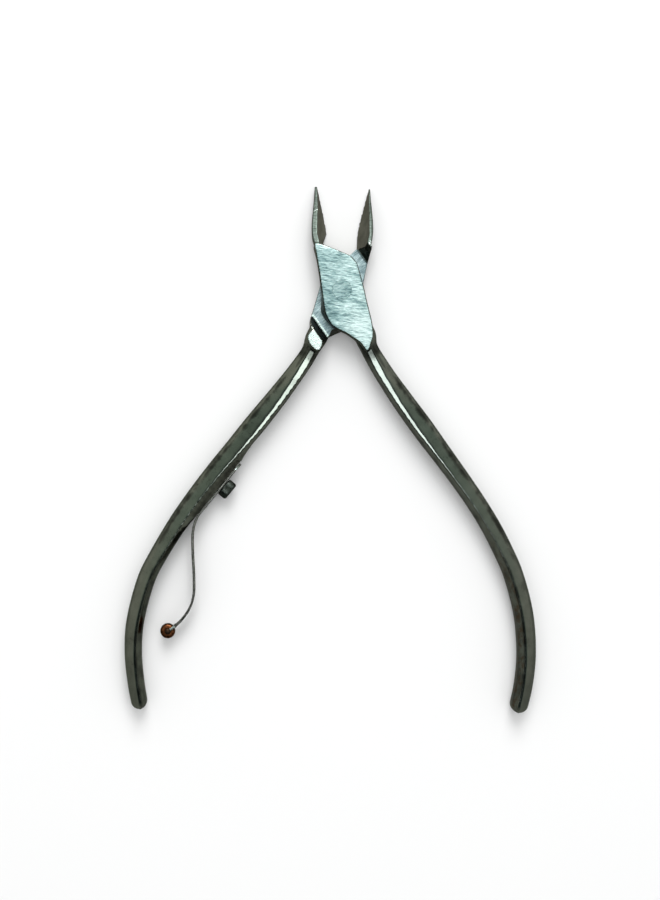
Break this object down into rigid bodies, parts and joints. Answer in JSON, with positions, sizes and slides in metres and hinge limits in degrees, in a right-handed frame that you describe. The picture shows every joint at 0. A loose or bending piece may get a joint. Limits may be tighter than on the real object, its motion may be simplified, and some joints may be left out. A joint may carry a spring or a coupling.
{
  "type": "cuticle nipper",
  "caption": "Lap-joint cuticle nipper with two pointed hollow-ground jaws, long bowed handles, and a screwed leaf spring ending in a roller.",
  "frame": {"origin": "on the pivot axis, at the rivet's flush end on the ground back face that the tool lies on", "axes": "+Y towards the jaw tips, +Z out of the front face along the pivot, +X to the right seen from the front"},
  "size_m": [0.0821, 0.1056, 0.0066],
  "materials": {
    "front_steel": "polished steel with a brushed ground face",
    "rear_steel": "polished steel with a brushed lap",
    "rivet_steel": "ground flush",
    "spring_steel": "polished strip",
    "screw_steel": "turned, fine straight lines",
    "roller_copper": "turned copper",
    "pin_steel": "headed pin"
  },
  "bodies": {
    "rear": {"rear_half": "rear_steel", "joint_rivet": "rivet_steel", "spring_clamped_end": "spring_steel", "spring_screw": "screw_steel"},
    "front": {"front_half": "front_steel"},
    "leaf": {"spring_leaf": "spring_steel", "roller_pin": "pin_steel"},
    "roller": {"roller": "roller_copper"}
  },
  "joints": [
    {"name": "joint_pivot", "type": "hinge", "parent": "rear", "child": "front", "pos_m": [0, 0, 0.0033], "axis": [0, 0, 1], "range_deg": [-27.5, 8]},
    {"name": "spring_flex", "type": "hinge", "parent": "rear", "child": "leaf", "pos_m": [-0.02733, -0.04566, 0.0033], "axis": [0, 0, 1], "range_deg": [-7, 4], "stiffness_Nm_per_rad": 0.2},
    {"name": "roller_spin", "type": "hinge", "parent": "leaf", "child": "roller", "pos_m": [-0.03275, -0.06875, 0.0033], "axis": [0, 0, 1], "continuous": true}
  ]
}
